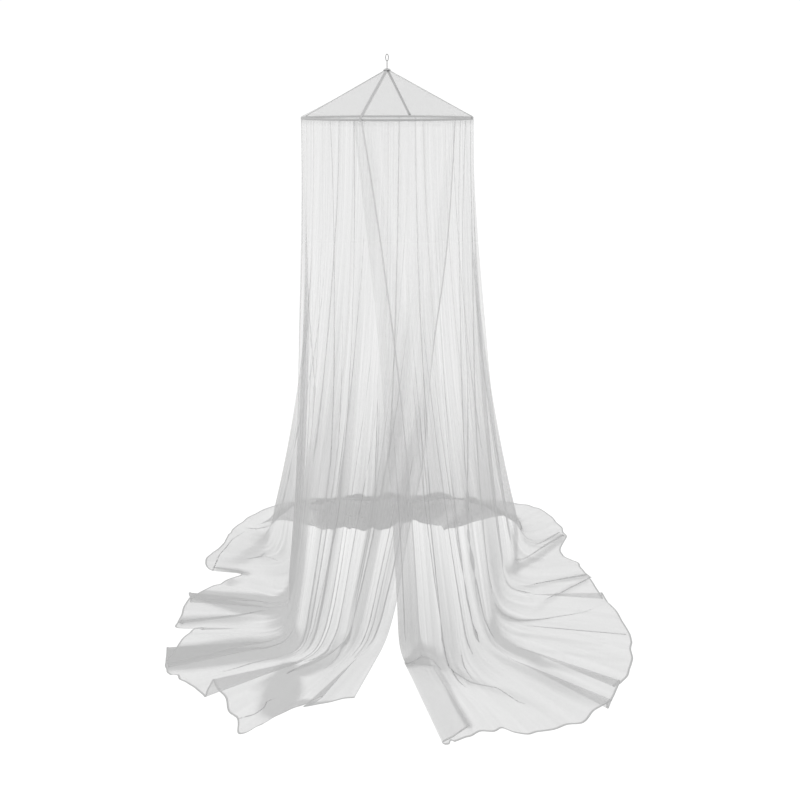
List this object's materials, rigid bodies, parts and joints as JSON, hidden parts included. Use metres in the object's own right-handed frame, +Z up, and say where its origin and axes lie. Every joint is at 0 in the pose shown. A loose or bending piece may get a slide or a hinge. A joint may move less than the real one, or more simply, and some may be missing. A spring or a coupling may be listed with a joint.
{
  "type": "mosquito net canopy with its hanging hoop",
  "caption": "White mosquito net canopy that hangs from a wire hoop and a small ceiling loop, with a taped cone roof and a long open-fronted skirt that lies on the floor in folds",
  "frame": {"origin": "the seat inside the top of the hanging loop, where the ceiling hook carries the canopy, on the hoop's axis", "axes": "+Z is up along the hoop's axis, -Y is the front with the opening, +X is the right-hand side seen from the front; the floor is at z = -2.0768 m"},
  "size_m": [1.74, 1.7801, 2.0788],
  "materials": {
    "net": "sheer fine mesh, matt",
    "roof_net": "sheer fine mesh, matt",
    "tape": "woven tape, matt",
    "casing_tape": "folded woven tape, matt",
    "hoop_steel": "plain bright wire",
    "hanger_wire": "dull wire"
  },
  "bodies": {
    "root": {"hanger": "hanger_wire", "crown_cap": "tape", "hoop_wire": "hoop_steel", "hoop_casing": "casing_tape", "roof_gore_1": "roof_net", "roof_gore_2": "roof_net", "roof_gore_3": "roof_net", "roof_gore_4": "roof_net", "roof_tape_1": "tape", "roof_tape_2": "tape", "roof_tape_3": "tape", "roof_tape_4": "tape", "skirt_panel_1": "net", "skirt_panel_2": "net", "skirt_panel_3": "net", "skirt_panel_4": "net", "skirt_panel_5": "net", "skirt_panel_6": "net", "skirt_panel_7": "net", "skirt_panel_8": "net"}
  },
  "joints": []
}
